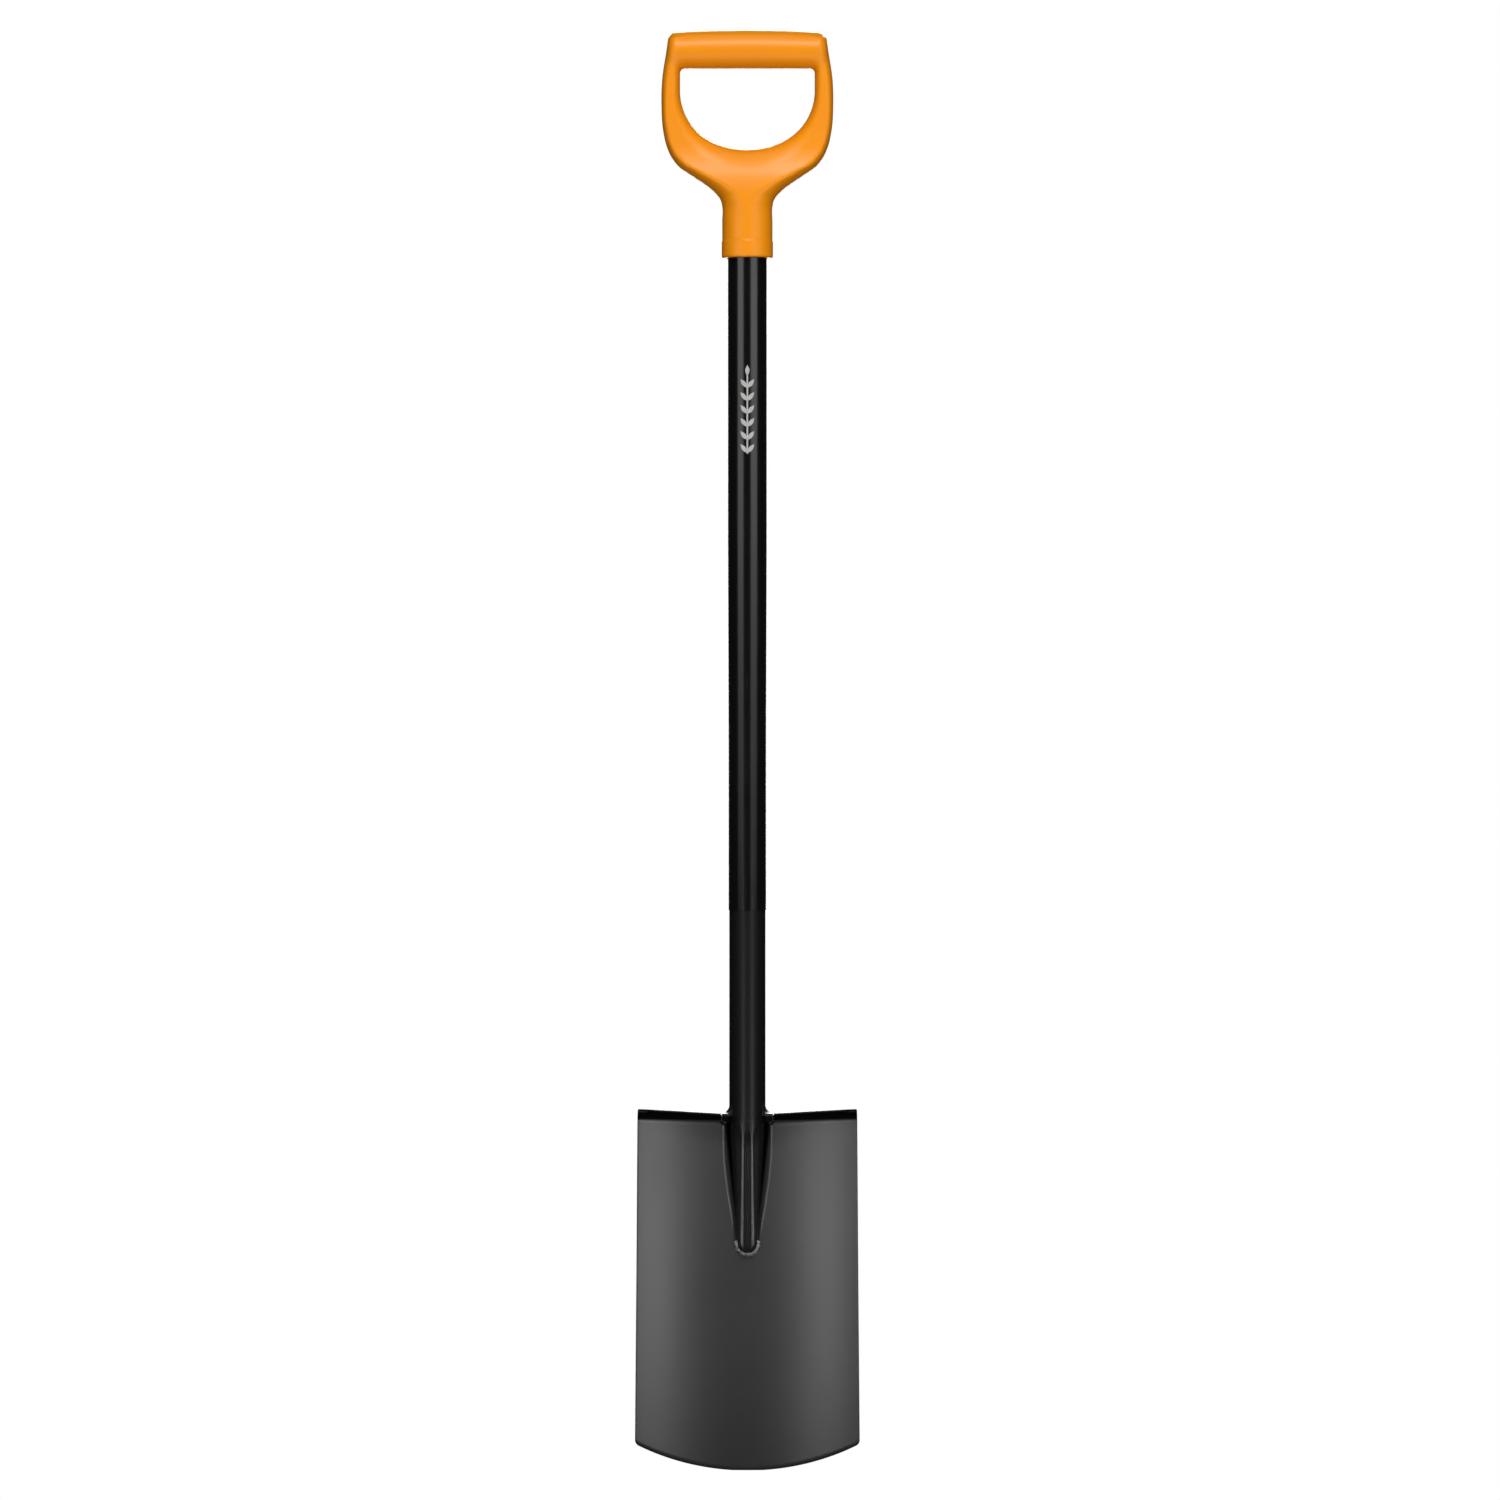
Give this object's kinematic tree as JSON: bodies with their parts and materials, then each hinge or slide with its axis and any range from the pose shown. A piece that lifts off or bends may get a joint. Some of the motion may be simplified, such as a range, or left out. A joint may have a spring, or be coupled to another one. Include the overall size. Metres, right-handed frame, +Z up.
{
  "type": "digging spade",
  "caption": "Long-handled digging spade: dished steel blade with foot treads, plastic-sleeved tube shaft and a moulded D-grip.",
  "frame": {"origin": "bottom centre of the spade: the lowest point of the cutting edge, in line with the shaft", "axes": "+Z up the shaft to the grip, -Y the dished front of the blade, +X across the blade"},
  "size_m": [0.1808, 0.0416, 1.17],
  "materials": {
    "orange_plastic": "satin, fine moulded grain",
    "screw_steel": "zinc plated",
    "sleeve_plastic": "smooth gloss",
    "coated_steel": "satin powder coat",
    "blade_steel": "satin powder coat",
    "weld_metal": "coated weld, slightly glossy",
    "print_ink": "printed"
  },
  "bodies": {
    "root": {"grip_body": "orange_plastic", "grip_screw": "screw_steel", "shaft_sleeve": "sleeve_plastic", "shaft_tube": "coated_steel", "blade": "blade_steel", "toe_weld": "weld_metal", "tread_weld": "weld_metal", "shaft_print": "print_ink"}
  },
  "joints": []
}
